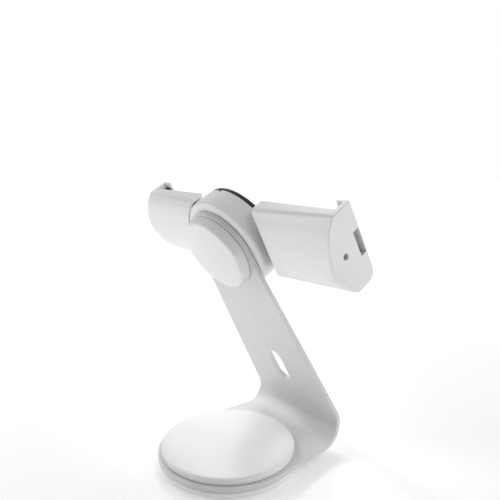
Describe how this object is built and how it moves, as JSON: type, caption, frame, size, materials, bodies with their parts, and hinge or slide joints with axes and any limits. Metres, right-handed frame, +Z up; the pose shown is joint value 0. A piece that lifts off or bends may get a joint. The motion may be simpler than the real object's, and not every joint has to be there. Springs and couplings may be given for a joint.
{
  "type": "tablet stand",
  "caption": "Desk stand: a round weighted base, a bent steel arm with a cable slot, and a turning head with sliding jaws that grip a tablet's edges.",
  "frame": {"origin": "centre of the round base, on the table", "axes": "+Z up, the screen faces -Y, +X to the left hand of someone behind the stand"},
  "size_m": [0.1768, 0.1118, 0.1789],
  "materials": {
    "paint_white": "satin powder coat",
    "plastic_white": "satin moulded white",
    "plastic_black": "matt black",
    "rubber_black": "soft matt rubber",
    "steel_bright": "zinc plated",
    "brass_plain": "plain machined",
    "fibre_brown": "pressed fibre"
  },
  "bodies": {
    "stand": {"foot_pad": "rubber_black", "base_weight": "paint_white", "arm_plate": "paint_white", "base_cap": "plastic_white", "pivot_cap": "plastic_white", "base_clip_ring": "plastic_black", "cap_ring": "plastic_black", "base_screw_1": "steel_bright", "base_screw_2": "steel_bright", "base_screw_3": "steel_bright", "base_screw_4": "steel_bright", "cap_ring_screw_1": "steel_bright", "cap_ring_screw_2": "steel_bright", "cap_ring_screw_3": "steel_bright", "friction_washer_outer": "fibre_brown"},
    "head": {"friction_washer_inner": "fibre_brown", "pivot_shaft": "steel_bright", "spring_washer": "steel_bright", "pivot_nut": "steel_bright", "carrier_bar": "steel_bright", "carrier_screw_1": "steel_bright", "carrier_screw_2": "steel_bright", "carrier_screw_3": "steel_bright", "carrier_screw_4": "steel_bright", "drum_housing": "plastic_white", "nut_block_left": "brass_plain", "nut_block_right": "brass_plain", "block_screw_left_1": "steel_bright", "block_screw_left_2": "steel_bright", "block_screw_right_1": "steel_bright", "block_screw_right_2": "steel_bright", "hub_cover": "plastic_black", "grip_pad": "rubber_black"},
    "jaw_left": {"jaw_shell_left": "plastic_white", "jaw_slider_left": "steel_bright", "slider_screw_left_1": "steel_bright", "slider_screw_left_2": "steel_bright", "back_pad_left": "rubber_black", "channel_liner_left": "rubber_black"},
    "clamp_left": {"clamp_screw_left": "steel_bright"},
    "jaw_right": {"jaw_shell_right": "plastic_white", "jaw_slider_right": "steel_bright", "slider_screw_right_1": "steel_bright", "slider_screw_right_2": "steel_bright", "back_pad_right": "rubber_black", "channel_liner_right": "rubber_black"},
    "clamp_right": {"clamp_screw_right": "steel_bright"}
  },
  "joints": [
    {"name": "head_turn", "type": "hinge", "parent": "stand", "child": "head", "pos_m": [0, 0.0049, 0.1413], "axis": [0, -0.8695, 0.4939], "continuous": true},
    {"name": "jaw_left_slide", "type": "slide", "parent": "head", "child": "jaw_left", "axis": [1, 0, 0], "range_m": [-0.004, 0.016]},
    {"name": "jaw_right_slide", "type": "slide", "parent": "head", "child": "jaw_right", "axis": [-1, 0, 0], "range_m": [-0.004, 0.016]},
    {"name": "clamp_left_turn", "type": "hinge", "parent": "jaw_left", "child": "clamp_left", "pos_m": [0.08, -0.0084, 0.14886], "axis": [1, 0, 0], "range_deg": [-2060, 8230]},
    {"name": "clamp_right_turn", "type": "hinge", "parent": "jaw_right", "child": "clamp_right", "pos_m": [-0.08, -0.0084, 0.14886], "axis": [-1, 0, 0], "range_deg": [-2060, 8230]}
  ],
  "couplings": [
    {"joint": "clamp_left_turn", "follows": "jaw_left_slide", "rad_per_m": 8976},
    {"joint": "clamp_right_turn", "follows": "jaw_right_slide", "rad_per_m": 8976}
  ]
}
